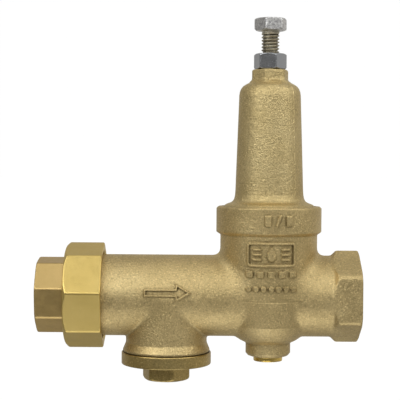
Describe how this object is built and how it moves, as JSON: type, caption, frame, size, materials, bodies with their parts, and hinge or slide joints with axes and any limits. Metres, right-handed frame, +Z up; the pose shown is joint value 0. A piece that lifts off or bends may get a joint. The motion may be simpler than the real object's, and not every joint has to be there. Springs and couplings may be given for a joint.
{
  "type": "pressure reducing valve",
  "caption": "Direct-acting water pressure reducing valve: cast brass body with strainer, spring cage with adjusting bolt and locknut, union inlet and threaded outlet.",
  "frame": {"origin": "centre of the outlet port's mouth", "axes": "+X out of the outlet along the common axis of both ports, +Z up along the bell housing and adjusting bolt, -Y towards the side with the flow arrow"},
  "size_m": [0.1402, 0.0467, 0.158],
  "materials": {
    "cast_brass": "cast, fine sand texture",
    "bell_brass": "cast, fine sand texture",
    "cap_brass": "cast and turned",
    "nut_brass": "machined, satin",
    "tail_bronze": "machined, satin",
    "plug_brass": "machined, bright",
    "zinc_steel": "zinc plated",
    "spring_steel": "oiled spring wire",
    "stainless": "bright",
    "inner_brass": "turned",
    "rubber": "moulded, matt",
    "gasket_fibre": "pressed fibre"
  },
  "bodies": {
    "body": {"valve_body": "cast_brass", "bell_housing": "bell_brass", "slip_ring": "inner_brass", "seat_ring": "inner_brass", "seat_o_ring": "rubber", "diaphragm": "rubber"},
    "spring_button": {"spring_button": "zinc_steel", "range_spring": "spring_steel"},
    "adjusting_bolt": {"adjusting_bolt": "zinc_steel"},
    "locknut": {"locknut": "zinc_steel"},
    "stem": {"stem": "stainless", "diaphragm_plate": "inner_brass", "diaphragm_washer": "inner_brass", "stem_nut": "stainless", "disc_holder": "inner_brass", "seat_disc": "rubber", "disc_nut": "stainless"},
    "plug_seal": {"plug_o_ring": "rubber"},
    "bottom_plug": {"bottom_plug": "plug_brass"},
    "screen": {"strainer_screen": "stainless", "screen_top_ring": "inner_brass", "screen_base_ring": "inner_brass", "cap_o_ring": "rubber"},
    "strainer_cap": {"strainer_cap": "cap_brass"},
    "tailpiece": {"union_tailpiece": "tail_bronze", "union_gasket": "gasket_fibre"},
    "union_nut": {"union_nut": "nut_brass"}
  },
  "joints": [
    {"name": "button_slide", "type": "slide", "parent": "body", "child": "spring_button", "axis": [0, 0, -1], "range_m": [0, 0.009], "deforming": ["range_spring"]},
    {"name": "bolt_turn", "type": "hinge", "parent": "spring_button", "child": "adjusting_bolt", "pos_m": [-0.0394, 0, 0.1158], "axis": [0, 0, -1], "range_deg": [0, 2302.2]},
    {"name": "locknut_turn", "type": "hinge", "parent": "body", "child": "locknut", "pos_m": [-0.0394, 0, 0.1023], "axis": [0, 0, 1], "range_deg": [0, 90]},
    {"name": "stem_slide", "type": "slide", "parent": "body", "child": "stem", "axis": [0, 0, 1], "range_m": [0, 0.0017], "deforming": ["diaphragm"]},
    {"name": "plug_draw", "type": "slide", "parent": "body", "child": "plug_seal", "axis": [0, 0, -1], "range_m": [0, 0.012]},
    {"name": "plug_turn", "type": "hinge", "parent": "plug_seal", "child": "bottom_plug", "pos_m": [-0.0394, 0, -0.024], "axis": [0, 0, -1], "range_deg": [0, 3067.7]},
    {"name": "screen_draw", "type": "slide", "parent": "body", "child": "screen", "axis": [0, 0, -1], "range_m": [0, 0.0075]},
    {"name": "cap_turn", "type": "hinge", "parent": "screen", "child": "strainer_cap", "pos_m": [-0.084, 0, -0.027], "axis": [0, 0, -1], "range_deg": [0, 1806]},
    {"name": "tailpiece_draw", "type": "slide", "parent": "body", "child": "tailpiece", "axis": [-1, 0, 0], "range_m": [0, 0.0072]},
    {"name": "union_nut_turn", "type": "hinge", "parent": "tailpiece", "child": "union_nut", "pos_m": [-0.1194, 0, 0], "axis": [-1, 0, 0], "range_deg": [0, 1434.9]}
  ],
  "couplings": [
    {"joint": "bolt_turn", "follows": "button_slide", "rad_per_m": 4453},
    {"joint": "plug_turn", "follows": "plug_draw", "rad_per_m": 4453},
    {"joint": "cap_turn", "follows": "screen_draw", "rad_per_m": 4188.8},
    {"joint": "union_nut_turn", "follows": "tailpiece_draw", "rad_per_m": 3463.7}
  ]
}
